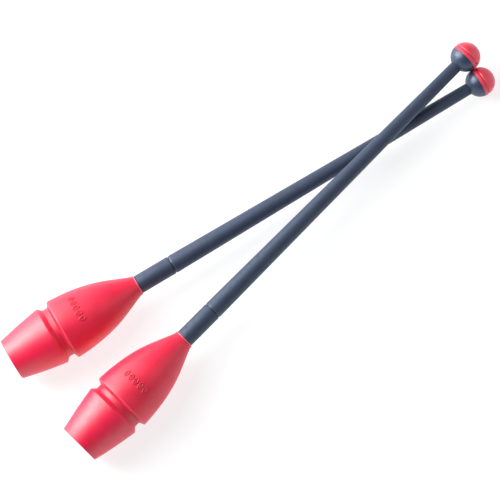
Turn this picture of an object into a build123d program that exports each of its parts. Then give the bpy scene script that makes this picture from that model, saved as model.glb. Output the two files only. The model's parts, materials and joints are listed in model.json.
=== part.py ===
from build123d import *

import os
from math import acos, asin, atan2, cos, hypot, radians, sin, sqrt

# A crossed pair of linkable rhythmic gymnastics clubs. The lower club lies on its belly and its ball.
# The upper club lies on its belly and on the lower club's grip. Both clubs are the same.
#
# Row frame: +Z up, the table at Z = 0, +X midway between the two clubs, from the tails to the balls.
# A club's own outline is drawn as (station, radius): the station is the distance from its tail end.

os.makedirs("parts", exist_ok=True)

# Lengths along a club, mm
CLUB_LENGTH = 455.0
BALL_R = 12.15
BALL_AT = CLUB_LENGTH - BALL_R
TAIL_EDGE_AT = 38.0
GROOVE_BACK_AT = 41.4
GROOVE_FRONT_AT = 45.8
BELLY_EDGE_AT = 47.7
BELLY_REST_AT = 49.6
BELLY_REST_R = 25.92
LIP_AT = 117.5
MOUTH_AT = 118.5
JOINT_AT = 150.2

# Outside radii, mm
TAIL_END_R = 17.5
TAIL_EDGE_R = 24.85
GROOVE_R = 21.6
BELLY_R = 25.95
LIP_R = 8.35
LIP_BEAD_R = 8.65
MOUTH_R = 8.2
NECK_R = 7.72
GRIP_START_R = 7.74
GRIP_END_R = 4.92

# Rounded corners of the body, mm
TAIL_END_ROUND = 0.5
TAIL_EDGE_ROUND = 0.6
GROOVE_BACK_ROUND = 1.8
GROOVE_FRONT_ROUND = 1.2
BELLY_EDGE_ROUND = 1.1

# The grip ends where it meets the ball.
SHAFT_END_AT = BALL_AT - sqrt(BALL_R**2 - GRIP_END_R**2)

# Hollow belly and the stiff core inside it, mm
WALL = 3.6
CAVITY_END_AT = 98.0
CAVITY_END_R = 12.4
CORE_R = 5.6
CORE_END_R = 3.7
CORE_BORE_R = 3.4
CORE_BORE_END_R = 2.2
CORE_BORE_END_LENGTH = 20.0
CORE_INSERT_LENGTH = 14.0
TIP_INSERT_LENGTH = 12.0
FIT_GAP = 0.02

# Tail socket, which takes the other club's ball, mm
SOCKET_R = 12.45
SOCKET_FLOOR_AT = 26.0
SOCKET_ENTRY = 0.7
SOCKET_FLOOR_ROUND = 1.5
CUP_R = 14.2
CUP_RIM_R = 15.6
CUP_RIM_AT = 1.0
CUP_RIM_WIDTH = 1.8
CUP_FLOOR = 2.4
SCREW_WELL_R = 5.2
SCREW_WELL_DEPTH = 3.4
CUP_END_AT = SOCKET_FLOOR_AT + SCREW_WELL_DEPTH + CUP_FLOOR
SPIGOT_R = 8.4
SPIGOT_LENGTH = 10.0

# Web of the shell that stands on the cup's end, mm
WEB_THICK = 2.4
WEB_R = TAIL_EDGE_R - WALL - 1.5

# Tail screw, its washer and its hole in the cup's floor, mm
M4_R = 2.0
M4_HEAD_R = 3.9
M4_HEAD_HEIGHT = 2.2
M4_HEAD_ROUND = 0.9
M4_LENGTH = 12.0
M4_HEX_R = 1.44
M4_HEX_DEPTH = 1.3
WASHER_R = 4.6
WASHER_HOLE_R = 2.15
WASHER_THICK = 0.8
SOCKET_HOLE_R = 2.2
WASHER_AT = CUP_END_AT - CUP_FLOOR - WASHER_THICK
SOCKET_HEAD_AT = WASHER_AT - M4_HEAD_HEIGHT

# Mouth bush and ring joint, mm
BUSH_R = 7.0
BUSH_END_AT = 110.4
BUSH_FLANGE_R = 9.4
BUSH_FLANGE_THICK = 2.0
RING_GAP = 0.5
RING_DEPTH = 0.9
RING_ROUND = 0.2
RING_BEVEL_WIDTH = 0.9
RING_BEVEL_DEPTH = 0.45

# Ball: seam between its halves, ring groove in the cap, spigot and screw, mm
SEAM_AT = BALL_AT - 1.95
SEAM_ROUND = 0.15
BAND_END_AT = BALL_AT + 0.7
CAP_GROOVE_WIDTH = 0.65
CAP_GROOVE_DEPTH = 0.6
CAP_BEVEL_WIDTH = 0.85
BALL_SPIGOT_R = 8.0
BALL_SPIGOT_END_AT = SEAM_AT + 5.0
CAP_HOLLOW_AT = BALL_SPIGOT_END_AT + 0.6
CORE_END_AT = SHAFT_END_AT + 4.6
BALL_HEAD_AT = CORE_END_AT + 3.2
M3_R = 1.5
M3_HOLE_R = 1.65
M3_HEAD_R = 2.75
M3_HEAD_HOLE_R = 3.05
M3_HEAD_HEIGHT = 1.65
M3_LENGTH = 14.0
M3_HEX_R = 1.15
M3_HEX_DEPTH = 0.9

# How the pair lies: half the angle between the axes, and the stations where they cross
HALF_ANGLE = radians(14.45 / 2)
CROSS_LOWER = 365.9
CROSS_UPPER = 363.9
TOUCH_GAP = 0.03
LEVELLING_STEPS = 6


def grip_radius(station):
    """Outside radius of the tapered grip at a station between the ring joint and the ball."""
    share = (station - JOINT_AT) / (SHAFT_END_AT - JOINT_AT)
    return GRIP_START_R + (GRIP_END_R - GRIP_START_R) * share


def core_radius(station):
    """Outside radius of the core under the grip, which keeps the taper of the grip."""
    share = (station - JOINT_AT) / (SHAFT_END_AT - JOINT_AT)
    return CORE_R + (CORE_END_R - CORE_R) * share


class Club:
    """One club's place: its axis, and the plane in which its outlines are drawn."""

    def __init__(self, name, tail, direction):
        self.name = name
        self.tail = tail
        self.direction = direction
        across = Vector(0, 0, 1).cross(direction).normalized()
        self.outline = Plane(origin=tail, x_dir=direction, z_dir=across * -1)
        self.axis = Axis(tail, direction)

    def facing_tail(self, station):
        """The plane square to the axis at a station, seen from the tail."""
        return Plane(origin=self.tail + self.direction * station, z_dir=self.direction * -1)

    def facing_ball(self, station):
        """The plane square to the axis at a station, seen from the ball."""
        return Plane(origin=self.tail + self.direction * station, z_dir=self.direction)


def nearest(upper, lower):
    """The stations where two clubs' axes pass nearest to each other, and how far apart they are there."""
    gap = upper.tail - lower.tail
    along = upper.direction.dot(lower.direction)
    on_upper = gap.dot(upper.direction)
    on_lower = gap.dot(lower.direction)
    at_upper = (along * on_lower - on_upper) / (1 - along**2)
    at_lower = (on_lower - along * on_upper) / (1 - along**2)
    between = gap + upper.direction * at_upper - lower.direction * at_lower
    return at_upper, at_lower, between.length


def lay_out():
    """Places both clubs: the lower one on belly and ball, the upper one on belly and lower grip."""
    reach = BALL_AT - BELLY_REST_AT
    sink = acos(BALL_R / hypot(BELLY_REST_R, reach)) - atan2(reach, BELLY_REST_R)
    lower_dir = Vector(cos(sink) * cos(HALF_ANGLE), -cos(sink) * sin(HALF_ANGLE), -sin(sink))
    lower_tail_z = BELLY_REST_R * cos(sink) + BELLY_REST_AT * sin(sink)

    # The crossing stands where the pair's box is centred on the row's origin.
    back = CROSS_LOWER * lower_dir.X + TAIL_END_R * sqrt(1 - lower_dir.X**2)
    front = (BALL_AT - CROSS_UPPER) * cos(HALF_ANGLE) + BALL_R
    cross_x = (back - front) / 2
    cross_y = (CROSS_UPPER - CROSS_LOWER) * sin(HALF_ANGLE) / 2

    def club_at(name, direction, cross, tail_z):
        tail = Vector(cross_x - cross * direction.X, cross_y - cross * direction.Y, tail_z)
        return Club(name, tail, direction)

    lower = club_at("club_b", lower_dir, CROSS_LOWER, lower_tail_z)

    # The upper club is raised until its grip just clears the lower grip.
    lever = CROSS_UPPER - BELLY_REST_AT
    stack = grip_radius(CROSS_LOWER) + grip_radius(CROSS_UPPER)
    for _ in range(LEVELLING_STEPS):
        cross_z = lower_tail_z - CROSS_LOWER * sin(sink) + stack
        rise = asin(cross_z / hypot(BELLY_REST_R, lever)) - atan2(BELLY_REST_R, lever)
        upper_dir = Vector(cos(rise) * cos(HALF_ANGLE), cos(rise) * sin(HALF_ANGLE), sin(rise))
        upper_tail_z = BELLY_REST_R * cos(rise) - BELLY_REST_AT * sin(rise)
        upper = club_at("club_a", upper_dir, CROSS_UPPER, upper_tail_z)
        at_upper, at_lower, apart = nearest(upper, lower)
        stack += grip_radius(at_upper) + grip_radius(at_lower) + TOUCH_GAP - apart
    return upper, lower


def save(builder, club, piece):
    """Labels a finished piece and writes it to its own file."""
    builder.part.label = club.name + "_" + piece
    export_step(builder.part, "parts/" + builder.part.label + ".step")


def round_corner(outline, station, radius, rounding):
    """Rounds the outline's corner nearest to (station, radius)."""
    corner = outline.vertices().sort_by_distance((station, radius))[0]
    fillet(corner, radius=rounding)


def make_body_shell(club):
    """Red rubber belly and conical tail in one hollow moulding, with the finger groove between them."""
    web_front = CUP_END_AT + WEB_THICK
    with BuildPart() as body_shell:
        with BuildSketch(club.outline) as outline:
            with BuildLine():
                # Outside, from the tail end to the mouth
                Line((0, CUP_RIM_R), (0, TAIL_END_R))
                Bezier((0, TAIL_END_R), (21, 22.4), (TAIL_EDGE_AT, TAIL_EDGE_R))
                Polyline(
                    (TAIL_EDGE_AT, TAIL_EDGE_R),
                    (GROOVE_BACK_AT, GROOVE_R),
                    (GROOVE_FRONT_AT, GROOVE_R),
                    (BELLY_EDGE_AT, BELLY_R),
                )
                Spline(
                    (BELLY_EDGE_AT, BELLY_R),
                    (71, 23.75),
                    (91, 18.9),
                    (110.5, 11.0),
                    (LIP_AT, LIP_R),
                    tangents=((1, -0.02), (1, -0.3)),
                )
                ThreePointArc((LIP_AT, LIP_R), ((LIP_AT + MOUTH_AT) / 2, LIP_BEAD_R), (MOUTH_AT, MOUTH_R))
                # Mouth, round the neck sleeve and the bush
                Polyline(
                    (MOUTH_AT, MOUTH_R),
                    (MOUTH_AT, NECK_R + FIT_GAP),
                    (BUSH_END_AT, NECK_R + FIT_GAP),
                    (BUSH_END_AT, BUSH_R + FIT_GAP),
                    (CAVITY_END_AT, BUSH_R + FIT_GAP),
                    (CAVITY_END_AT, CAVITY_END_R),
                )
                # Hollow belly: the inside follows the outside, groove and all
                Spline((CAVITY_END_AT, CAVITY_END_R), (84, 17.3), (70, 20.2), (54, BELLY_R - WALL))
                Polyline(
                    (54, BELLY_R - WALL),
                    (50, BELLY_R - WALL),
                    (47.5, GROOVE_R - WALL),
                    (40, GROOVE_R - WALL),
                    (web_front, WEB_R),
                    (web_front, SPIGOT_R + FIT_GAP),
                    (CUP_END_AT, SPIGOT_R + FIT_GAP),
                )
                # Seat of the tail socket's cup
                Polyline(
                    (CUP_END_AT, SPIGOT_R + FIT_GAP),
                    (CUP_END_AT, CUP_R),
                    (CUP_RIM_AT + CUP_RIM_WIDTH, CUP_R),
                    (CUP_RIM_AT + CUP_RIM_WIDTH, CUP_RIM_R),
                    (0, CUP_RIM_R),
                )
            make_face()
            round_corner(outline, 0, TAIL_END_R, TAIL_END_ROUND)
            round_corner(outline, 0, CUP_RIM_R, TAIL_END_ROUND)
            round_corner(outline, TAIL_EDGE_AT, TAIL_EDGE_R, TAIL_EDGE_ROUND)
            round_corner(outline, GROOVE_BACK_AT, GROOVE_R, GROOVE_BACK_ROUND)
            round_corner(outline, GROOVE_FRONT_AT, GROOVE_R, GROOVE_FRONT_ROUND)
            round_corner(outline, BELLY_EDGE_AT, BELLY_R, BELLY_EDGE_ROUND)
        revolve(axis=club.axis)
    save(body_shell, club, "body_shell")


def make_tail_socket(club):
    """Stiff cup in the tail, with a rim that holds the shell and a spigot that takes the core."""
    with BuildPart() as tail_socket:
        with BuildSketch(club.outline) as outline:
            with BuildLine():
                Polyline(
                    (CUP_RIM_AT, SOCKET_R),
                    (CUP_RIM_AT, CUP_RIM_R),
                    (CUP_RIM_AT + CUP_RIM_WIDTH, CUP_RIM_R),
                    (CUP_RIM_AT + CUP_RIM_WIDTH, CUP_R),
                    (CUP_END_AT, CUP_R),
                    (CUP_END_AT, SPIGOT_R),
                    (CUP_END_AT + SPIGOT_LENGTH, SPIGOT_R),
                    (CUP_END_AT + SPIGOT_LENGTH, CORE_R + FIT_GAP),
                    (CUP_END_AT, CORE_R + FIT_GAP),
                    (CUP_END_AT, SOCKET_HOLE_R),
                    (CUP_END_AT - CUP_FLOOR, SOCKET_HOLE_R),
                    (CUP_END_AT - CUP_FLOOR, SCREW_WELL_R),
                    (SOCKET_FLOOR_AT, SCREW_WELL_R),
                    (SOCKET_FLOOR_AT, SOCKET_R),
                    close=True,
                )
            make_face()
            entry = outline.vertices().sort_by_distance((CUP_RIM_AT, SOCKET_R))[0]
            chamfer(entry, length=SOCKET_ENTRY)
            round_corner(outline, SOCKET_FLOOR_AT, SOCKET_R, SOCKET_FLOOR_ROUND)
        revolve(axis=club.axis)
    save(tail_socket, club, "tail_socket")


def make_socket_screw(club):
    """M4 pan-head screw that draws the cup and the shell onto the core."""
    with BuildPart() as socket_screw:
        with BuildSketch(club.outline) as outline:
            with BuildLine():
                Polyline(
                    (SOCKET_HEAD_AT, 0),
                    (SOCKET_HEAD_AT, M4_HEAD_R),
                    (SOCKET_HEAD_AT + M4_HEAD_HEIGHT, M4_HEAD_R),
                    (SOCKET_HEAD_AT + M4_HEAD_HEIGHT, M4_R),
                    (SOCKET_HEAD_AT + M4_HEAD_HEIGHT + M4_LENGTH, M4_R),
                    (SOCKET_HEAD_AT + M4_HEAD_HEIGHT + M4_LENGTH, 0),
                    close=True,
                )
            make_face()
            round_corner(outline, SOCKET_HEAD_AT, M4_HEAD_R, M4_HEAD_ROUND)
        revolve(axis=club.axis)
        with BuildSketch(club.facing_ball(SOCKET_HEAD_AT)):
            RegularPolygon(radius=M4_HEX_R, side_count=6)
        extrude(amount=M4_HEX_DEPTH, mode=Mode.SUBTRACT)
    save(socket_screw, club, "socket_screw")


def make_socket_washer(club):
    """Flat washer between the screw head and the cup's floor."""
    with BuildPart() as socket_washer:
        with BuildSketch(club.facing_tail(WASHER_AT + WASHER_THICK)):
            Circle(WASHER_R)
            Circle(WASHER_HOLE_R, mode=Mode.SUBTRACT)
        extrude(amount=WASHER_THICK)
    save(socket_washer, club, "socket_washer")


def make_core_insert(club):
    """Threaded insert in the core's tail end, which takes the M4 screw."""
    with BuildPart() as core_insert:
        with BuildSketch(club.facing_ball(CUP_END_AT + FIT_GAP)):
            Circle(CORE_BORE_R - FIT_GAP)
            Circle(M4_R + FIT_GAP, mode=Mode.SUBTRACT)
        extrude(amount=CORE_INSERT_LENGTH)
    save(core_insert, club, "core_insert")


def make_core_tube(club):
    """Stiff tube from the cup to the ball, tapered under the grip."""
    start = CUP_END_AT + FIT_GAP
    with BuildPart() as core_tube:
        with BuildSketch(club.outline):
            with BuildLine():
                Polyline(
                    (start, CORE_BORE_R),
                    (start, CORE_R),
                    (JOINT_AT, CORE_R),
                    (SHAFT_END_AT, CORE_END_R),
                    (CORE_END_AT, CORE_END_R),
                    (CORE_END_AT, CORE_BORE_END_R),
                    (SHAFT_END_AT - CORE_BORE_END_LENGTH, CORE_BORE_END_R),
                    (JOINT_AT, CORE_BORE_R),
                    close=True,
                )
            make_face()
        revolve(axis=club.axis)
    save(core_tube, club, "core_tube")


def make_mouth_bush(club):
    """Stiff bush in the shell's mouth, with a flange inside the hollow, that centres the core."""
    with BuildPart() as mouth_bush:
        with BuildSketch(club.outline):
            with BuildLine():
                Polyline(
                    (CAVITY_END_AT - BUSH_FLANGE_THICK, CORE_R + FIT_GAP),
                    (CAVITY_END_AT - BUSH_FLANGE_THICK, BUSH_FLANGE_R),
                    (CAVITY_END_AT - FIT_GAP, BUSH_FLANGE_R),
                    (CAVITY_END_AT - FIT_GAP, BUSH_R),
                    (BUSH_END_AT, BUSH_R),
                    (BUSH_END_AT, CORE_R + FIT_GAP),
                    close=True,
                )
            make_face()
        revolve(axis=club.axis)
    save(mouth_bush, club, "mouth_bush")


def make_neck_sleeve(club):
    """Short rubber sleeve from the belly's mouth to the ring joint, with a tongue that floors the joint."""
    end = JOINT_AT - RING_GAP / 2
    tongue_end = JOINT_AT + RING_GAP / 2 - FIT_GAP
    with BuildPart() as neck_sleeve:
        with BuildSketch(club.outline) as outline:
            with BuildLine():
                Polyline(
                    (BUSH_END_AT + FIT_GAP, CORE_R + FIT_GAP),
                    (BUSH_END_AT + FIT_GAP, NECK_R),
                    (end, NECK_R),
                    (end, NECK_R - RING_DEPTH),
                    (tongue_end, NECK_R - RING_DEPTH),
                    (tongue_end, CORE_R + FIT_GAP),
                    close=True,
                )
            make_face()
            round_corner(outline, end, NECK_R, RING_ROUND)
        revolve(axis=club.axis)
    save(neck_sleeve, club, "neck_sleeve")


def make_grip_sleeve(club):
    """Long tapered rubber sleeve from the ring joint to the ball, bevelled at the ring joint."""
    start = JOINT_AT + RING_GAP / 2
    end = SHAFT_END_AT - FIT_GAP
    with BuildPart() as grip_sleeve:
        with BuildSketch(club.outline):
            with BuildLine():
                Polyline(
                    (start, core_radius(start) + FIT_GAP),
                    (start, grip_radius(start) - RING_BEVEL_DEPTH),
                    (start + RING_BEVEL_WIDTH, grip_radius(start + RING_BEVEL_WIDTH)),
                    (end, grip_radius(end)),
                    (end, core_radius(end) + FIT_GAP),
                    close=True,
                )
            make_face()
        revolve(axis=club.axis)
    save(grip_sleeve, club, "grip_sleeve")


def make_tip_insert(club):
    """Threaded insert in the core's ball end, which takes the M3 screw."""
    with BuildPart() as tip_insert:
        with BuildSketch(club.facing_tail(CORE_END_AT)):
            Circle(CORE_BORE_END_R - FIT_GAP)
            Circle(M3_R + FIT_GAP, mode=Mode.SUBTRACT)
        extrude(amount=TIP_INSERT_LENGTH)
    save(tip_insert, club, "tip_insert")


def make_ball_base(club):
    """Rear half of the ball: it sits on the core's end and carries a spigot for the cap."""
    seam_r = sqrt(BALL_R**2 - (BALL_AT - SEAM_AT) ** 2)
    mid = (SHAFT_END_AT + SEAM_AT) / 2
    mid_r = sqrt(BALL_R**2 - (BALL_AT - mid) ** 2)
    with BuildPart() as ball_base:
        with BuildSketch(club.outline) as outline:
            with BuildLine():
                ThreePointArc((SHAFT_END_AT, GRIP_END_R), (mid, mid_r), (SEAM_AT, seam_r))
                Polyline(
                    (SEAM_AT, seam_r),
                    (SEAM_AT, BALL_SPIGOT_R),
                    (BALL_SPIGOT_END_AT, BALL_SPIGOT_R),
                    (BALL_SPIGOT_END_AT, M3_HEAD_HOLE_R),
                    (BALL_HEAD_AT, M3_HEAD_HOLE_R),
                    (BALL_HEAD_AT, M3_HOLE_R),
                    (CORE_END_AT + FIT_GAP, M3_HOLE_R),
                    (CORE_END_AT + FIT_GAP, CORE_END_R + FIT_GAP),
                    (SHAFT_END_AT, CORE_END_R + FIT_GAP),
                    (SHAFT_END_AT, GRIP_END_R),
                )
            make_face()
            round_corner(outline, SEAM_AT, seam_r, SEAM_ROUND)
        revolve(axis=club.axis)
    save(ball_base, club, "ball_base")


def make_ball_screw(club):
    """M3 screw that holds the ball's rear half on the core, under the cap."""
    with BuildPart() as ball_screw:
        with BuildSketch(club.outline):
            with BuildLine():
                Polyline(
                    (BALL_HEAD_AT - M3_LENGTH, 0),
                    (BALL_HEAD_AT - M3_LENGTH, M3_R),
                    (BALL_HEAD_AT + FIT_GAP, M3_R),
                    (BALL_HEAD_AT + FIT_GAP, M3_HEAD_R),
                    (BALL_HEAD_AT + M3_HEAD_HEIGHT, M3_HEAD_R),
                    (BALL_HEAD_AT + M3_HEAD_HEIGHT, 0),
                    close=True,
                )
            make_face()
        revolve(axis=club.axis)
        with BuildSketch(club.facing_tail(BALL_HEAD_AT + M3_HEAD_HEIGHT)):
            RegularPolygon(radius=M3_HEX_R, side_count=6)
        extrude(amount=M3_HEX_DEPTH, mode=Mode.SUBTRACT)
    save(ball_screw, club, "ball_screw")


def make_ball_cap(club):
    """Front half of the ball, with a plain band, then a ring groove that is bevelled on the dome's side."""
    groove_back = BAND_END_AT
    groove_floor_end = BAND_END_AT + CAP_GROOVE_WIDTH
    dome_start = groove_floor_end + CAP_BEVEL_WIDTH

    def ball_r(station):
        return sqrt(BALL_R**2 - (BALL_AT - station) ** 2)

    band_mid = (SEAM_AT + BAND_END_AT) / 2
    dome_mid = BALL_AT + BALL_R * cos(radians(45))
    with BuildPart() as ball_cap:
        with BuildSketch(club.outline) as outline:
            with BuildLine():
                ThreePointArc(
                    (SEAM_AT + FIT_GAP, ball_r(SEAM_AT)),
                    (band_mid, ball_r(band_mid)),
                    (groove_back, ball_r(groove_back)),
                )
                Polyline(
                    (groove_back, ball_r(groove_back)),
                    (groove_back, BALL_R - CAP_GROOVE_DEPTH),
                    (groove_floor_end, BALL_R - CAP_GROOVE_DEPTH),
                    (dome_start, ball_r(dome_start)),
                )
                ThreePointArc(
                    (dome_start, ball_r(dome_start)),
                    (dome_mid, ball_r(dome_mid)),
                    (CLUB_LENGTH, 0),
                )
                Polyline(
                    (CLUB_LENGTH, 0),
                    (CAP_HOLLOW_AT, 0),
                    (CAP_HOLLOW_AT, BALL_SPIGOT_R + FIT_GAP),
                    (SEAM_AT + FIT_GAP, BALL_SPIGOT_R + FIT_GAP),
                    (SEAM_AT + FIT_GAP, ball_r(SEAM_AT)),
                )
            make_face()
            round_corner(outline, SEAM_AT + FIT_GAP, ball_r(SEAM_AT), SEAM_ROUND)
        revolve(axis=club.axis)
    save(ball_cap, club, "ball_cap")


MAKERS = (
    make_body_shell,
    make_tail_socket,
    make_socket_screw,
    make_socket_washer,
    make_core_insert,
    make_core_tube,
    make_mouth_bush,
    make_neck_sleeve,
    make_grip_sleeve,
    make_tip_insert,
    make_ball_base,
    make_ball_screw,
    make_ball_cap,
)

for club in lay_out():
    print(club.name, "tail", club.tail, "direction", club.direction)
    print(club.name, "ball", club.tail + club.direction * BALL_AT)
    for make in MAKERS:
        make(club)
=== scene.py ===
import json
import math

import bmesh
import bpy
import numpy as np
from mathutils import Matrix, Vector, noise


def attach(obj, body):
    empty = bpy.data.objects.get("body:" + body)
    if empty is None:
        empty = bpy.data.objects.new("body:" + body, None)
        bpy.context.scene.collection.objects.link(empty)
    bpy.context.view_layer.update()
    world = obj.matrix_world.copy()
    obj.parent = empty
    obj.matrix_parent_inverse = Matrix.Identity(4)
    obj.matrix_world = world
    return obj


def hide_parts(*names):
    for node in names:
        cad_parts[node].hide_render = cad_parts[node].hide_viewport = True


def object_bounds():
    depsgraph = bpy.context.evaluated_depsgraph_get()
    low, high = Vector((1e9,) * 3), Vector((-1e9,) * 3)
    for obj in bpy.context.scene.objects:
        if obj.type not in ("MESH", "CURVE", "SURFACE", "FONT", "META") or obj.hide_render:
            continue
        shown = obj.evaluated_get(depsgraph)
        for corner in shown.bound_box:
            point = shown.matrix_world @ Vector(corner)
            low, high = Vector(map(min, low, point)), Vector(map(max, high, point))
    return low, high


# Looks of a crossed pair of rhythmic gymnastics clubs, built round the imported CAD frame.
# A club's outline is a list of (station, radius) points in millimetres: the station is the distance
# from its tail end along its axis. Everything else is in metres.

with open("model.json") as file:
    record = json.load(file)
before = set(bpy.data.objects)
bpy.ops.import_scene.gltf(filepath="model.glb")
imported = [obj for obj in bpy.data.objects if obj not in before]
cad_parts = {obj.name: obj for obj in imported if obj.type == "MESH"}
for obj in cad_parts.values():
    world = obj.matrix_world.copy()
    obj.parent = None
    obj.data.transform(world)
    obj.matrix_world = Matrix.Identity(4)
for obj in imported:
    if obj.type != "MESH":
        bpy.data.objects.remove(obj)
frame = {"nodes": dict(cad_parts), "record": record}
cad_low, cad_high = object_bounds()

MM = 0.001

# The club's outline, as the CAD has it, mm
CLUB_LENGTH = 455.0
BALL_R = 12.15
BALL_AT = CLUB_LENGTH - BALL_R
TAIL_END_R = 17.5
TAIL_CONTROL_AT, TAIL_CONTROL_R = 21, 22.4
TAIL_EDGE_AT, TAIL_EDGE_R = 38.0, 24.85
GROOVE_BACK_AT, GROOVE_FRONT_AT, GROOVE_R = 41.4, 45.8, 21.6
BELLY_EDGE_AT, BELLY_R = 47.7, 25.95
LIP_AT, LIP_R, LIP_BEAD_R = 117.5, 8.35, 8.65
MOUTH_AT, MOUTH_R = 118.5, 8.2
JOINT_AT, RING_GAP, RING_DEPTH = 150.2, 0.5, 0.9
NECK_R = 7.72
GRIP_START_R, GRIP_END_R = 7.74, 4.92
GRIP_END_AT = BALL_AT - math.sqrt(BALL_R**2 - GRIP_END_R**2)
SEAM_AT = BALL_AT - 1.95
BAND_END_AT = BALL_AT + 0.7
CAP_GROOVE_WIDTH, CAP_GROOVE_DEPTH, CAP_BEVEL_WIDTH = 0.65, 0.6, 0.85
RING_BEVEL_WIDTH, RING_BEVEL_DEPTH = 0.9, 0.45
SOCKET_MID_AT = 13.1

# Hidden fits and hollows, as the CAD has them, mm
SHELL_FIT = 0.03
CUP_R, CUP_RIM_R, CUP_RIM_FRONT_AT, CUP_END_AT = 14.2, 15.6, 2.8, 31.8
WEB_FRONT_AT, WEB_R = 34.2, 19.75
SPIGOT_R = 8.4
BUSH_R, BUSH_END_AT = 7.0, 110.4
CAVITY_END_AT, CAVITY_END_R = 98, 12.4
CAVITY_POINTS = [(84, 17.3), (70, 20.2), (54, 22.35), (50, 22.35), (47.5, 18.0), (40, 18.0)]
NECK_START_AT = 110.44
JOINT_FIT = 0.02
BORE_R, BORE_END_R = 5.62, 3.72
BALL_SPIGOT_R, BALL_SPIGOT_LENGTH = 8.0, 5
BALL_WELL_R, BALL_WELL_FLOOR_AT = 3.05, 439.5
BALL_HOLE_R, CORE_TIP_AT = 1.65, 436.4

# Stations in the middle of the sleeves' bores, where their closed outlines start and end, mm
NECK_BORE_AT, GRIP_BORE_AT = 130, 300


# ---------------------------------------------------------------- outlines

def rounded(corners, steps=6):
    """A polyline through (station, radius, rounding) corners, each corner rounded by an arc."""
    points = []
    for i, (s, r, rounding) in enumerate(corners):
        here = Vector((s, r))
        if rounding == 0 or i in (0, len(corners) - 1):
            points.append(here)
            continue
        back = Vector(corners[i - 1][:2]) - here
        ahead = Vector(corners[i + 1][:2]) - here
        half = back.angle(ahead) / 2
        reach = rounding / math.tan(half)
        centre = here + (back.normalized() + ahead.normalized()).normalized() * (rounding / math.sin(half))
        start = here + back.normalized() * reach - centre
        end = here + ahead.normalized() * reach - centre
        sweep = start.angle_signed(end)
        for k in range(steps + 1):
            turned = start.copy()
            turned.rotate(Matrix.Rotation(-sweep * k / steps, 2))
            points.append(centre + turned)
    return [tuple(p) for p in points]


def bezier(a, b, c, steps):
    """Points on the quadratic curve from a to c that leaves and arrives along b."""
    shares = [k / steps for k in range(steps + 1)]
    return [
        tuple((1 - t) ** 2 * a[i] + 2 * t * (1 - t) * b[i] + t * t * c[i] for i in (0, 1))
        for t in shares
    ]


def smooth_curve(points, start_slope, end_slope, steps):
    """Points on the cubic spline r(s) through the given points, with the given slopes at its ends."""
    s = np.array([p[0] for p in points])
    r = np.array([p[1] for p in points])
    h = np.diff(s)
    n = len(s)
    system = np.zeros((n, n))
    right = np.zeros(n)
    system[0, 0], right[0] = 1, start_slope
    system[-1, -1], right[-1] = 1, end_slope
    for i in range(1, n - 1):
        system[i, i - 1] = 1 / h[i - 1]
        system[i, i] = 2 * (1 / h[i - 1] + 1 / h[i])
        system[i, i + 1] = 1 / h[i]
        right[i] = 3 * ((r[i] - r[i - 1]) / h[i - 1] ** 2 + (r[i + 1] - r[i]) / h[i] ** 2)
    slope = np.linalg.solve(system, right)
    found = []
    for x in np.linspace(s[0], s[-1], steps + 1):
        i = min(int(np.searchsorted(s, x, side="right")) - 1, n - 2)
        t = (x - s[i]) / h[i]
        value = (
            (1 + 2 * t) * (1 - t) ** 2 * r[i]
            + t * (1 - t) ** 2 * h[i] * slope[i]
            + t * t * (3 - 2 * t) * r[i + 1]
            + t * t * (t - 1) * h[i] * slope[i + 1]
        )
        found.append((float(x), float(value)))
    return found


def arc_points(start_at, end_at, radius, steps):
    """Points on the ball's outline between two stations."""
    a = math.acos(max(-1.0, min(1.0, (start_at - BALL_AT) / radius)))
    b = math.acos(max(-1.0, min(1.0, (end_at - BALL_AT) / radius)))
    angles = [a + (b - a) * k / steps for k in range(steps + 1)]
    return [(BALL_AT + radius * math.cos(x), radius * math.sin(x)) for x in angles]


BELLY_CURVE = smooth_curve(
    [(BELLY_EDGE_AT, BELLY_R), (71, 23.75), (91, 18.9), (110.5, 11.0), (LIP_AT, LIP_R)],
    start_slope=-0.02,
    end_slope=-0.30,
    steps=70,
)


def belly_radius(station):
    """Outside radius of the belly at a station between its edge and its mouth."""
    return float(np.interp(station, [p[0] for p in BELLY_CURVE], [p[1] for p in BELLY_CURVE]))


def ball_radius(station):
    """Outside radius of the ball at a station."""
    return math.sqrt(BALL_R**2 - (BALL_AT - station) ** 2)


# ---------------------------------------------------------------- clubs

class Club:
    """A club's place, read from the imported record: its tail point, its axis and its top side."""

    def __init__(self, prefix, body, socket_mount):
        mount = next(m for m in frame["record"]["mounts"] if m["name"] == socket_mount)
        self.prefix = prefix
        self.body = body
        self.along = -Vector(mount["axis"]).normalized()
        self.tail = Vector(mount["pos_m"]) - self.along * SOCKET_MID_AT * MM
        self.side = Vector((0, 0, 1)).cross(self.along).normalized()
        self.top = self.along.cross(self.side)

    def point(self, station, radius, turn):
        """The point at a station and a radius in millimetres, turned from the top side towards +Y."""
        out = self.top * math.cos(turn) + self.side * math.sin(turn)
        return self.tail + (self.along * station + out * radius) * MM


CLUBS = [
    Club("club_a", "upper_club", "upper_tail_socket"),
    Club("club_b", "lower_club", "lower_tail_socket"),
]


def finish_mesh(club, name, bm, material, replaces=None, sharp=35):
    """Makes a piece from a bmesh: smooth below a sharp angle, painted, riding on its club's body."""
    bmesh.ops.recalc_face_normals(bm, faces=bm.faces)
    mesh = bpy.data.meshes.new(club.prefix + "_" + name)
    bm.to_mesh(mesh)
    bm.free()
    mesh.shade_smooth()
    mesh.set_sharp_from_angle(angle=math.radians(sharp))
    mesh.materials.append(material)
    piece = bpy.data.objects.new(mesh.name, mesh)
    bpy.context.scene.collection.objects.link(piece)
    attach(piece, club.body)
    if replaces:
        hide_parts(club.prefix + "_" + replaces)


AXIS_R = 1e-6


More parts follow.
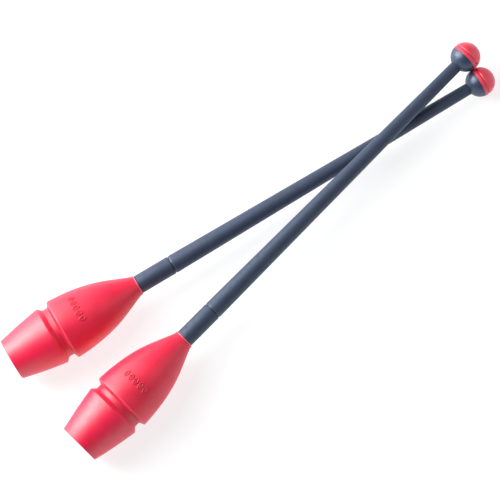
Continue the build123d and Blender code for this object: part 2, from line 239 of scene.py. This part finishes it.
def lathe(club, name, outline, segments, material, replaces, relief=None):
    """Turns a closed outline round the club's axis. relief(station, radius, turn) is added to the radius.

    Each vertex keeps its station as a share of the club's length, for the materials to read.
    """
    bm = bmesh.new()
    station_layer = bm.verts.layers.float.new("station")
    rings = []
    for s, r in outline:
        if r < AXIS_R:
            rings.append([bm.verts.new(club.point(s, 0, 0))])
        else:
            ring = []
            for k in range(segments):
                turn = 2 * math.pi * k / segments
                lift = relief(s, r, turn) if relief else 0.0
                ring.append(bm.verts.new(club.point(s, r + lift, turn)))
            rings.append(ring)
        for v in rings[-1]:
            v[station_layer] = s / CLUB_LENGTH
    pairs = list(zip(rings, rings[1:]))
    if outline[0][1] >= AXIS_R and outline[-1][1] >= AXIS_R:
        pairs.append((rings[-1], rings[0]))
    for first, second in pairs:
        for k in range(segments):
            m = (k + 1) % segments
            corners = (
                first[k % len(first)],
                first[m % len(first)],
                second[m % len(second)],
                second[k % len(second)],
            )
            unique = list(dict.fromkeys(corners))
            if len(unique) > 2:
                bm.faces.new(unique)
    finish_mesh(club, name, bm, material, replaces)


# ---------------------------------------------------------------- materials

class Shader:
    """A node material with short helpers. Its textures sit still on the rest shape of each piece."""

    def __init__(self, name):
        self.material = bpy.data.materials.new(name)
        self.material.use_nodes = True
        self.tree = self.material.node_tree
        self.tree.nodes.clear()
        self.surface = self.add("ShaderNodeBsdfPrincipled")
        out = self.add("ShaderNodeOutputMaterial")
        self.link(self.surface.outputs["BSDF"], out.inputs["Surface"])
        self.place = self.add("ShaderNodeTexCoord").outputs["Object"]

    def add(self, kind, **settings):
        node = self.tree.nodes.new(kind)
        for key, value in settings.items():
            setattr(node, key, value)
        return node

    def link(self, a, b):
        self.tree.links.new(a, b)

    def feed(self, socket, value):
        """Sets an input to a value, or links it to another node's output."""
        if isinstance(value, bpy.types.NodeSocket):
            self.link(value, socket)
        else:
            socket.default_value = value

    def noise(self, per_metre, detail=3.0, roughness=0.5, distortion=0.0):
        node = self.add("ShaderNodeTexNoise")
        self.link(self.place, node.inputs["Vector"])
        node.inputs["Scale"].default_value = per_metre
        node.inputs["Detail"].default_value = detail
        node.inputs["Roughness"].default_value = roughness
        node.inputs["Distortion"].default_value = distortion
        return node.outputs["Fac"]

    def mottle(self, per_metre, detail, low=0.0, high=1.0):
        """Soft, uneven patches between a low and a high value."""
        return self.span(self.noise(per_metre, detail), 0.3, 0.7, low, high)

    def pebbles(self, per_metre):
        node = self.add("ShaderNodeTexVoronoi", feature="SMOOTH_F1")
        self.link(self.place, node.inputs["Vector"])
        node.inputs["Scale"].default_value = per_metre
        return node.outputs["Distance"]

    def height(self):
        """Height above the object's own origin, in metres."""
        node = self.add("ShaderNodeSeparateXYZ")
        self.link(self.place, node.inputs["Vector"])
        return node.outputs["Z"]

    def math(self, operation, a, b=0.0):
        node = self.add("ShaderNodeMath", operation=operation)
        self.feed(node.inputs[0], a)
        self.feed(node.inputs[1], b)
        return node.outputs[0]

    def span(self, value, low, high, to_low=0.0, to_high=1.0):
        node = self.add("ShaderNodeMapRange", interpolation_type="SMOOTHSTEP")
        self.feed(node.inputs["Value"], value)
        limits = {"From Min": low, "From Max": high, "To Min": to_low, "To Max": to_high}
        for key, number in limits.items():
            node.inputs[key].default_value = number
        return node.outputs["Result"]

    def blend(self, share, a, b):
        node = self.add("ShaderNodeMix", data_type="RGBA")
        self.feed(node.inputs["Factor"], share)
        self.feed(node.inputs["A"], a)
        self.feed(node.inputs["B"], b)
        return node.outputs["Result"]

    def station(self):
        """Station along the club, as a share of its length."""
        return self.add("ShaderNodeAttribute", attribute_name="station").outputs["Fac"]

    def shade(self):
        """Painted shade on the emblem's ribs, darkest towards their feet. It is 0 on every other piece."""
        return self.add("ShaderNodeAttribute", attribute_name="shade").outputs["Fac"]

    def near(self, station, inside, outside):
        """1 near a station, fading to 0. The station is in mm, the two distances are shares of the length."""
        off = self.math("ABSOLUTE", self.math("SUBTRACT", self.station(), station / CLUB_LENGTH))
        return self.span(off, inside, outside, 1.0, 0.0)

    def bump(self, height, distance, strength=1.0, under=None):
        node = self.add("ShaderNodeBump")
        node.inputs["Strength"].default_value = strength
        node.inputs["Distance"].default_value = distance
        self.link(height, node.inputs["Height"])
        if under is not None:
            self.link(under, node.inputs["Normal"])
        return node.outputs["Normal"]

    def set(self, **inputs):
        for key, value in inputs.items():
            self.feed(self.surface.inputs[key.replace("_", " ")], value)
        return self.material


def colour(r, g, b):
    return (r, g, b, 1.0)


def red_rubber():
    """Smooth moulded rubber: clean red with cloudy depth and faint scuffs, painted highlights on the lip and
    rims, and painted shade in the groove and at the emblem ribs' feet.
    """
    m = Shader("red_rubber")
    cloud = m.mottle(45, 4)
    tail = m.blend(cloud, colour(0.81, 0.003, 0.056), colour(0.89, 0.004, 0.067))
    belly = m.blend(cloud, colour(0.78, 0.013, 0.056), colour(0.86, 0.018, 0.067))
    forward = m.span(m.station(), 0.08, 0.12)
    body = m.blend(forward, tail, belly)
    scuff = m.span(m.noise(900, 6, 0.65, 0.6), 0.62, 0.72, 0.0, 0.35)
    patch = m.span(m.noise(60, 2), 0.5, 0.62)
    worn = m.math("MULTIPLY", scuff, patch)
    # painted highlight along the mouth's lip
    lip_highlight = m.span(m.station(), (LIP_AT + 0.2) / CLUB_LENGTH, (LIP_AT + 0.7) / CLUB_LENGTH)
    # painted highlights along the belly's rear edge and the tail's end edge
    belly_rim_highlight = m.near(BELLY_EDGE_AT + 0.4, 0.0006, 0.002)
    end_rim_highlight = m.near(0.0, 0.0006, 0.002)
    rim_highlights = m.math("MULTIPLY", m.math("ADD", belly_rim_highlight, end_rim_highlight), 0.12)
    tint = m.blend(worn, body, colour(0.70, 0.07, 0.11))
    # the pale pink is a painted highlight on the lip and the rims
    tint = m.blend(m.math("ADD", m.math("MULTIPLY", lip_highlight, 0.6), rim_highlights), tint, colour(0.95, 0.42, 0.47))
    # painted shade in the groove between tail and belly and at the emblem ribs' feet, towards a dark red
    groove_shade = m.near((GROOVE_BACK_AT + GROOVE_FRONT_AT) / 2, 0.004, 0.009)
    dark = m.math("ADD", m.math("MULTIPLY", groove_shade, 0.25), m.math("MULTIPLY", m.shade(), 0.4))
    tint = m.blend(dark, tint, colour(0.20, 0.001, 0.015))
    gloss = m.mottle(120, 4, 0.41, 0.49)
    rough = m.math("ADD", gloss, m.math("MULTIPLY", worn, 0.4))
    skin = m.bump(m.noise(5200, 3, 0.6), 0.00003, 0.35)
    skin = m.bump(m.noise(70, 2), 0.0004, 0.25, skin)
    return m.set(
        Base_Color=tint,
        Roughness=rough,
        IOR=1.7,
        Specular_IOR_Level=m.span(forward, 0.0, 1.0, 0.56, 0.40),
        Specular_Tint=colour(1.0, 1.0, 0.9),
        Normal=skin,
        Sheen_Weight=0.03,
        Sheen_Roughness=0.4,
        Sheen_Tint=colour(1.0, 0.75, 0.8),
    )


def cap_rubber():
    """The ball cap's red rubber, more matte, with painted shade in its ring groove and fine rings left by its
    mould.
    """
    m = Shader("cap_rubber")
    cloud = m.mottle(160, 3)
    body = m.blend(cloud, colour(0.84, 0.034, 0.082), colour(0.93, 0.044, 0.096))
    # painted shade in the cap's ring groove
    groove_shade = m.near(BAND_END_AT + 0.3, 0.0007, 0.0015)
    body = m.blend(m.math("MULTIPLY", groove_shade, 0.55), body, colour(0.36, 0.008, 0.03))
    gloss = m.mottle(400, 3, 0.42, 0.55)
    rings = m.math("SINE", m.math("MULTIPLY", m.station(), 4200.0))
    skin = m.bump(m.noise(4200, 3, 0.6), 0.00003, 0.4)
    skin = m.bump(rings, 0.00001, 0.25, skin)
    return m.set(
        Base_Color=body,
        Roughness=gloss,
        IOR=1.7,
        Normal=skin,
        Sheen_Weight=0.35,
        Sheen_Roughness=0.4,
        Sheen_Tint=colour(1.0, 0.75, 0.8),
    )


def grip_rubber():
    """Dry, fine-grained navy grip rubber with handling marks, a smoother bevel with a painted highlight, and
    painted shade in the ring joint's gap.
    """
    m = Shader("grip_rubber")
    cloud = m.mottle(90, 5)
    body = m.blend(cloud, colour(0.027, 0.037, 0.072), colour(0.034, 0.046, 0.088))
    dust = m.span(m.noise(1500, 5, 0.7), 0.6, 0.75, 0.0, 0.3)
    tint = m.blend(dust, body, colour(0.07, 0.09, 0.14))
    gloss = m.mottle(300, 4, 0.5, 0.62)
    # painted highlight on the grip's bevel, which is also made smoother
    bevel_highlight_and_smoothness = m.near(JOINT_AT + RING_BEVEL_WIDTH, 0.0008, 0.0016)
    # painted shade in the ring joint's gap, nearly black
    joint_gap_shade = m.near(JOINT_AT, 0.0006, 0.0013)
    tint = m.blend(m.math("MULTIPLY", bevel_highlight_and_smoothness, 0.18), tint, colour(0.16, 0.20, 0.28))
    tint = m.blend(m.math("MULTIPLY", joint_gap_shade, 0.85), tint, colour(0.003, 0.004, 0.008))
    gloss = m.math("SUBTRACT", gloss, m.math("MULTIPLY", bevel_highlight_and_smoothness, 0.2))
    skin = m.bump(m.pebbles(2600), 0.00006, 0.5)
    skin = m.bump(m.noise(500, 3), 0.00006, 0.3, skin)
    return m.set(
        Base_Color=tint,
        Roughness=gloss,
        IOR=1.65,
        Specular_IOR_Level=0.5,
        Specular_Tint=colour(0.7, 0.83, 1.0),
        Normal=skin,
        Sheen_Weight=0.12,
        Sheen_Roughness=0.4,
        Sheen_Tint=colour(0.6, 0.8, 1.0),
    )


def ball_navy():
    """Satin moulded plastic of the ball's rear half."""
    m = Shader("ball_navy")
    cloud = m.mottle(150, 3)
    body = m.blend(cloud, colour(0.024, 0.036, 0.075), colour(0.031, 0.046, 0.093))
    gloss = m.mottle(600, 4, 0.36, 0.44)
    return m.set(
        Base_Color=body,
        Roughness=gloss,
        IOR=1.8,
        Specular_IOR_Level=0.48,
        Specular_Tint=colour(0.72, 0.83, 1.0),
        Normal=m.bump(m.noise(2500, 2), 0.00002, 0.3),
    )


def plain_plastic(name, dark, light, rough_low, rough_high):
    """Moulded plastic of a hidden or shaded piece, lightly mottled."""
    m = Shader(name)
    body = m.blend(m.mottle(200, 3), colour(*dark), colour(*light))
    gloss = m.mottle(500, 3, rough_low, rough_high)
    return m.set(Base_Color=body, Roughness=gloss, Normal=m.bump(m.noise(3000, 2), 0.00002, 0.3))


def metal(name, dark, light, rough_low, rough_high):
    """Plated or turned metal with fine brushing and stains."""
    m = Shader(name)
    body = m.blend(m.mottle(800, 4), colour(*dark), colour(*light))
    gloss = m.mottle(2500, 4, rough_low, rough_high)
    skin = m.bump(m.noise(6000, 2), 0.00001, 0.3)
    return m.set(Base_Color=body, Metallic=1.0, Roughness=gloss, Normal=skin)


RED = red_rubber()
CAP = cap_rubber()
GRIP = grip_rubber()
BALL = ball_navy()
SOCKET = plain_plastic("socket_plastic", (0.016, 0.018, 0.024), (0.026, 0.028, 0.036), 0.42, 0.55)
CORE = plain_plastic("core_plastic", (0.010, 0.012, 0.016), (0.018, 0.020, 0.026), 0.45, 0.6)
STEEL = metal("screw_steel", (0.42, 0.42, 0.44), (0.60, 0.60, 0.61), 0.25, 0.4)
BRASS = metal("insert_brass", (0.55, 0.40, 0.16), (0.70, 0.52, 0.24), 0.25, 0.4)

NODE_MATERIALS = {
    "body_shell": RED,
    "ball_cap": CAP,
    "neck_sleeve": GRIP,
    "grip_sleeve": GRIP,
    "ball_base": BALL,
    "tail_socket": SOCKET,
    "core_tube": CORE,
    "mouth_bush": CORE,
    "core_insert": BRASS,
    "tip_insert": BRASS,
    "socket_screw": STEEL,
    "socket_washer": STEEL,
    "ball_screw": STEEL,
}


def paint_cad_nodes():
    """Gives every carried-over CAD node its material."""
    for name, node in frame["nodes"].items():
        node.data.materials.clear()
        node.data.materials.append(NODE_MATERIALS[name.split("_", 2)[2]])


# ---------------------------------------------------------------- pieces

BODY_SEGMENTS, SLEEVE_SEGMENTS, BALL_SEGMENTS = 224, 112, 128
LIP_STEPS, TAIL_STEPS = 12, 40
SAG_DEPTH, SAG_LENGTH, SAG_TURN, SAG_SHIFT = 0.05, 22, 1.1, 50
SAG_MIN_R, SAG_END_AT = 16.5, 112

# Where the tail's and the belly's curves take over from the rounded corners beside them, mm
TAIL_START_AT, TAIL_START_R = 1.5, 17.85
TAIL_STOP_AT, TAIL_STOP_R = 36.6, 24.63
BELLY_START_AT = 51.5
CURVE_CLEAR, BELLY_CLEAR = 0.1, 0.5


def make_body(club):
    """Red belly and tail: the outside with its groove, the tail's end ring, the mouth and the hollow."""
    outline = rounded(
        [
            (CUP_RIM_FRONT_AT, CUP_R, 0),
            (CUP_RIM_FRONT_AT, CUP_RIM_R, 0.1),
            (0, CUP_RIM_R, 0.5),
            (0, TAIL_END_R, 0.5),
            (TAIL_START_AT, TAIL_START_R, 0),
        ]
    )
    control = (TAIL_CONTROL_AT, TAIL_CONTROL_R)
    tail = bezier((0, TAIL_END_R), control, (TAIL_EDGE_AT, TAIL_EDGE_R), TAIL_STEPS)
    outline += [p for p in tail if TAIL_START_AT < p[0] < TAIL_STOP_AT - CURVE_CLEAR]
    outline += rounded(
        [
            (TAIL_STOP_AT, TAIL_STOP_R, 0),
            (TAIL_EDGE_AT, TAIL_EDGE_R, 0.6),
            (GROOVE_BACK_AT, GROOVE_R, 1.8),
            (GROOVE_FRONT_AT, GROOVE_R, 1.2),
            (BELLY_EDGE_AT, BELLY_R, 1.1),
            (BELLY_START_AT, belly_radius(BELLY_START_AT), 0),
        ],
        10,
    )
    outline += [p for p in BELLY_CURVE if p[0] > BELLY_START_AT + BELLY_CLEAR]
    for k in range(1, LIP_STEPS):
        turn = math.pi * k / LIP_STEPS
        base = LIP_R + (MOUTH_R - LIP_R) * k / LIP_STEPS
        station = (LIP_AT + MOUTH_AT) / 2 - math.cos(turn) * (MOUTH_AT - LIP_AT) / 2
        outline.append((station, base + math.sin(turn) * (LIP_BEAD_R - (LIP_R + MOUTH_R) / 2)))
    outline += rounded(
        [
            (MOUTH_AT, MOUTH_R, 0),
            (MOUTH_AT, NECK_R + SHELL_FIT, 0.08),
            (BUSH_END_AT, NECK_R + SHELL_FIT, 0),
        ],
        4,
    )
    outline += [
        (BUSH_END_AT, BUSH_R + SHELL_FIT),
        (CAVITY_END_AT, BUSH_R + SHELL_FIT),
        (CAVITY_END_AT, CAVITY_END_R),
        *CAVITY_POINTS,
        (WEB_FRONT_AT, WEB_R),
        (WEB_FRONT_AT, SPIGOT_R + SHELL_FIT),
        (CUP_END_AT, SPIGOT_R + SHELL_FIT),
        (CUP_END_AT, CUP_R),
    ]

    def sag(station, radius, turn):
        """Very slight unevenness of soft rubber, always inwards, and none at the fits."""
        if radius < SAG_MIN_R or station > SAG_END_AT:
            return 0.0
        across = math.cos(turn) * SAG_TURN, math.sin(turn) * SAG_TURN + SAG_SHIFT
        place = Vector((station / SAG_LENGTH, *across))
        return -SAG_DEPTH * (0.5 + 0.5 * noise.noise(place))

    lathe(club, "body", outline, BODY_SEGMENTS, RED, "body_shell", sag)


def make_neck(club):
    """Short navy sleeve from the mouth to the ring joint, with the tongue that floors the joint."""
    end = JOINT_AT - RING_GAP / 2
    tongue_end = end + RING_GAP - JOINT_FIT
    outline = rounded(
        [
            (NECK_BORE_AT, BORE_R, 0),
            (NECK_START_AT, BORE_R, 0),
            (NECK_START_AT, NECK_R, 0.1),
            (end, NECK_R, 0.2),
            (end, NECK_R - RING_DEPTH, 0),
            (tongue_end, NECK_R - RING_DEPTH, 0),
            (tongue_end, BORE_R, 0),
            (NECK_BORE_AT, BORE_R, 0),
        ],
        5,
    )
    lathe(club, "neck", outline[:-1], SLEEVE_SEGMENTS, GRIP, "neck_sleeve")


def make_grip(club):
    """Long tapered navy sleeve, bevelled at the ring joint."""
    start = JOINT_AT + RING_GAP / 2
    end = GRIP_END_AT - JOINT_FIT
    bore_middle = (GRIP_BORE_AT, (BORE_R + BORE_END_R) / 2, 0)
    outline = rounded(
        [
            bore_middle,
            (start, BORE_R, 0),
            (start, GRIP_START_R - RING_BEVEL_DEPTH, 0.08),
            (start + RING_BEVEL_WIDTH, GRIP_START_R, 0.25),
            (end, GRIP_END_R, 0.08),
            (end, BORE_END_R, 0),
            bore_middle,
        ],
        5,
    )
    lathe(club, "grip", outline[:-1], SLEEVE_SEGMENTS, GRIP, "grip_sleeve")


def make_ball_back(club):
    """Navy rear half of the ball, with the spigot that carries the cap."""
    outline = arc_points(GRIP_END_AT, SEAM_AT - 0.25, BALL_R, 28)
    outline += rounded(
        [
            outline[-1] + (0,),
            (SEAM_AT, ball_radius(SEAM_AT), 0.15),
            (SEAM_AT, BALL_SPIGOT_R, 0),
            (SEAM_AT + BALL_SPIGOT_LENGTH, BALL_SPIGOT_R, 0.3),
            (SEAM_AT + BALL_SPIGOT_LENGTH, BALL_WELL_R, 0.2),
            (BALL_WELL_FLOOR_AT, BALL_WELL_R, 0),
            (BALL_WELL_FLOOR_AT, BALL_HOLE_R, 0),
            (CORE_TIP_AT, BALL_HOLE_R, 0),
            (CORE_TIP_AT, BORE_END_R, 0),
            (GRIP_END_AT, BORE_END_R, 0),
        ],
        5,
    )[1:]
    lathe(club, "ball_back", outline, BALL_SEGMENTS, BALL, "ball_base")


CAP_BORE_DEPTH = 5.6
DOME_SHAVE = 0.004


def make_ball_front(club):
    """Red cap: plain band, narrow ring groove with a bevelled front edge, and the dome."""
    groove_floor = BALL_R - CAP_GROOVE_DEPTH
    floor_end = BAND_END_AT + CAP_GROOVE_WIDTH
    dome_start = floor_end + CAP_BEVEL_WIDTH
    rim_at = SEAM_AT + SHELL_FIT
    bore_r = BALL_SPIGOT_R + SHELL_FIT
    bore_end = SEAM_AT + CAP_BORE_DEPTH
    outline = [(bore_end, 0.0), (bore_end, bore_r), (rim_at, bore_r)]
    outline += rounded(
        [
            (rim_at, bore_r, 0),
            (rim_at, ball_radius(SEAM_AT), 0.15),
            (SEAM_AT + 0.6, ball_radius(SEAM_AT + 0.6), 0),
        ],
        4,
    )[1:]
    outline += arc_points(SEAM_AT + 0.8, BAND_END_AT - 0.15, BALL_R, 8)
    outline += rounded(
        [
            (BAND_END_AT - 0.12, ball_radius(BAND_END_AT), 0),
            (BAND_END_AT, ball_radius(BAND_END_AT), 0.08),
            (BAND_END_AT, groove_floor, 0.08),
            (floor_end, groove_floor, 0.1),
            (dome_start, ball_radius(dome_start), 0.15),
            (dome_start + 0.4, ball_radius(dome_start + 0.4), 0),
        ],
        4,
    )
    outline += arc_points(dome_start + 0.6, CLUB_LENGTH, BALL_R - DOME_SHAVE, 36)
    outline[-1] = (outline[-1][0], 0.0)
    lathe(club, "ball_front", outline, BALL_SEGMENTS, CAP, "ball_cap")


LOZENGES = 5
LOZENGE_HALF_LENGTH = 4.3
LOZENGE_HALF_WIDTH = 2.15
LOZENGE_PITCH = 5.3
LOZENGE_AT = 66.5
EMBLEM_TURN = {"club_a": math.radians(-11), "club_b": math.radians(2)}
LOZENGE_INSET = (0.5, 0.4)
LOZENGE_ROUND = 0.65
PIP_HALF_LENGTH, PIP_HALF_WIDTH, PIP_ROUND = 1.35, 0.75, 0.3
EMBLEM_ROOT, EMBLEM_LIFT = -0.45, 0.5
SHADE_TOP, SHADE_SLOPE = 0.6, 2.2
RIB = ((0.50, EMBLEM_ROOT), (0.50, -0.02), (0.40, 0.26), (0.22, 0.44), (0, EMBLEM_LIFT))
PIP = ((0.0, EMBLEM_ROOT), (0.0, 0.0), (-0.08, 0.26), (-0.25, 0.44))


def lozenge_path(half_length, half_width, rounding, steps=5):
    """Points round a lozenge with rounded corners, each with its outward direction."""
    corners = ((half_length, 0), (0, half_width), (-half_length, 0), (0, -half_width))
    tips = [Vector(corner) for corner in corners]
    path = []
    for i, tip in enumerate(tips):
        before = (tip - tips[i - 1]).normalized()
        after = (tips[(i + 1) % 4] - tip).normalized()
        start, end = Vector((before.y, -before.x)), Vector((after.y, -after.x))
        sweep = start.angle(end)
        centre = tip - tip.normalized() * rounding / math.cos(sweep / 2)
        for k in range(steps + 1):
            out = start.lerp(end, k / steps).normalized()
            path.append((centre + out * rounding, out))
    return path


def make_emblem(club):
    """A plain row of raised lozenge frames, each with a small pip in the middle, moulded on the belly."""
    bm = bmesh.new()
    station_layer = bm.verts.layers.float.new("station")
    # this layer carries painted shade, strongest at the ribs' feet
    shade_layer = bm.verts.layers.float.new("shade")
    section = [(-x, z) for x, z in RIB[:-1]] + list(reversed(RIB))
    frame_path = lozenge_path(
        LOZENGE_HALF_LENGTH - LOZENGE_INSET[0], LOZENGE_HALF_WIDTH - LOZENGE_INSET[1], LOZENGE_ROUND
    )
    pip_path = lozenge_path(PIP_HALF_LENGTH, PIP_HALF_WIDTH, PIP_ROUND)
    for i in range(LOZENGES):
        across = (i - (LOZENGES - 1) / 2) * LOZENGE_PITCH

        def place(flat, lift):
            station = LOZENGE_AT + flat.x
            turn = EMBLEM_TURN[club.prefix] + (across + flat.y) / BELLY_R
            corner = bm.verts.new(club.point(station, belly_radius(station) + lift, turn))
            corner[station_layer] = LOZENGE_AT / CLUB_LENGTH
            corner[shade_layer] = min(1.0, SHADE_SLOPE * (SHADE_TOP - lift))
            return corner

        loops = [[place(flat + out * x, z) for x, z in section] for flat, out in frame_path]
        for a, b in zip(loops, loops[1:] + loops[:1]):
            for k in range(len(section)):
                m = (k + 1) % len(section)
                bm.faces.new((a[k], a[m], b[m], b[k]))
        rings = [[place(flat + out * x, z) for flat, out in pip_path] for x, z in PIP]
        count = len(pip_path)
        for low, high in zip(rings, rings[1:]):
            for k in range(count):
                m = (k + 1) % count
                bm.faces.new((low[k], low[m], high[m], high[k]))
        for ring, z in ((rings[0], EMBLEM_ROOT), (rings[-1], EMBLEM_LIFT)):
            middle = place(Vector((0, 0)), z)
            for k in range(count):
                bm.faces.new((ring[k], ring[(k + 1) % count], middle))
    finish_mesh(club, "emblem", bm, RED, sharp=70)


paint_cad_nodes()
for club in CLUBS:
    make_body(club)
    make_neck(club)
    make_grip(club)
    make_ball_back(club)
    make_ball_front(club)
    make_emblem(club)


# ---------------------------------------------------------------- floor, light and camera

FLOOR_FLAT_R, FLOOR_SWEEP_R = 2.3, 0.7
FLOOR_DROP = 0.0002
FLOOR_SEGMENTS = 96
SWEEP_STEPS = 16


def make_floor():
    """Plain pale table top that sweeps up far from the clubs, not part of the object."""
    bm = bmesh.new()
    ground = cad_low.z - FLOOR_DROP
    profile = []
    for k in range(SWEEP_STEPS + 1):
        rise = math.pi / 2 * k / SWEEP_STEPS
        out = FLOOR_FLAT_R + FLOOR_SWEEP_R * math.sin(rise)
        profile.append((out, ground + FLOOR_SWEEP_R * (1 - math.cos(rise))))
    turns = [2 * math.pi * k / FLOOR_SEGMENTS for k in range(FLOOR_SEGMENTS)]
    rings = [[bm.verts.new((r * math.cos(t), r * math.sin(t), z)) for t in turns] for r, z in profile]
    bm.faces.new(rings[0])
    for low_ring, high_ring in zip(rings, rings[1:]):
        for k in range(FLOOR_SEGMENTS):
            m = (k + 1) % FLOOR_SEGMENTS
            bm.faces.new((low_ring[k], low_ring[m], high_ring[m], high_ring[k]))
    bmesh.ops.recalc_face_normals(bm, faces=bm.faces)
    mesh = bpy.data.meshes.new("floor")
    bm.to_mesh(mesh)
    bm.free()
    mesh.shade_smooth()
    m = Shader("pale_floor")
    cloud = m.mottle(4, 3)
    tone = m.blend(cloud, colour(0.26, 0.265, 0.27), colour(0.29, 0.295, 0.30))
    glow = m.blend(cloud, colour(0.97, 0.975, 0.98), colour(1.0, 1.0, 1.0))
    strength = m.span(m.height(), 0.02, FLOOR_SWEEP_R, 0.8, 0.42)
    mesh.materials.append(
        m.set(
            Base_Color=tone,
            Roughness=0.9,
            Specular_IOR_Level=0.1,
            Emission_Color=glow,
            Emission_Strength=strength,
        )
    )
    floor = bpy.data.objects.new("floor", mesh)
    bpy.context.scene.collection.objects.link(floor)


SOFTBOX_DISTANCE = 1.2
SOFTBOX_AIM = Vector((0, 0, 0.02))
WORLD_STRENGTH = 0.08


def aim(obj, target):
    obj.rotation_mode = "QUATERNION"
    obj.rotation_quaternion = (target - obj.location).to_track_quat("-Z", "Y")


def softbox(name, azimuth, elevation, width, height, watts):
    """Area light at an azimuth from +X towards +Y and an elevation, aimed at the object's middle."""
    light = bpy.data.lights.new(name, "AREA")
    light.shape = "RECTANGLE"
    light.size = width
    light.size_y = height
    light.energy = watts
    obj = bpy.data.objects.new(name, light)
    a, e = math.radians(azimuth), math.radians(elevation)
    out = Vector((math.cos(a) * math.cos(e), math.sin(a) * math.cos(e), math.sin(e)))
    obj.location = out * SOFTBOX_DISTANCE
    bpy.context.scene.collection.objects.link(obj)
    aim(obj, SOFTBOX_AIM)


def make_light():
    """Pale surroundings, three soft keys behind the clubs, two low lights there and two fills in front."""
    world = bpy.data.worlds.new("studio")
    bpy.context.scene.world = world
    world.use_nodes = True
    backdrop = world.node_tree.nodes["Background"]
    backdrop.inputs["Color"].default_value = (1.0, 1.0, 1.0, 1.0)
    backdrop.inputs["Strength"].default_value = WORLD_STRENGTH
    softbox("key_softbox", 110, 35, 0.7, 0.7, 7.8)
    softbox("left_softbox", 132, 35, 0.7, 0.7, 11.6)
    softbox("high_softbox", 127, 60, 0.7, 0.7, 9.0)
    softbox("rim_softbox", 80, 25, 0.5, 0.5, 0.9)
    softbox("back_softbox", 108, 8, 0.8, 0.25, 3.0)
    softbox("low_fill", -20, 18, 0.7, 0.4, 1.0)
    softbox("high_fill", -40, 43, 0.8, 0.8, 1.6)


CAMERA_AZIMUTH = -10.27
CAMERA_ELEVATION = 69.53
CAMERA_ROLL = -28.57
CAMERA_DISTANCE = 2.011
CAMERA_LENS = 179.1
CAMERA_AIM = Vector((-0.0197, -0.0038, 0.020))


def make_camera():
    """The camera looks steeply down at the pair, rolled so that the clubs point up to the right."""
    data = bpy.data.cameras.new("camera")
    data.lens = CAMERA_LENS
    data.sensor_width = 36.0
    data.clip_start, data.clip_end = 0.05, 20
    camera = bpy.data.objects.new("camera", data)
    bpy.context.scene.collection.objects.link(camera)
    a, e = math.radians(CAMERA_AZIMUTH), math.radians(CAMERA_ELEVATION)
    back = Vector((math.sin(a) * math.cos(e), -math.cos(a) * math.cos(e), math.sin(e)))
    camera.location = CAMERA_AIM + back * CAMERA_DISTANCE
    level = (-back).to_track_quat("-Z", "Y").to_matrix()
    roll = Matrix.Rotation(math.radians(CAMERA_ROLL), 3, "Z")
    camera.rotation_mode = "QUATERNION"
    camera.rotation_quaternion = (level @ roll).to_quaternion()
    bpy.context.scene.camera = camera


make_floor()
make_light()
make_camera()
bpy.context.scene.view_settings.view_transform = "Standard"
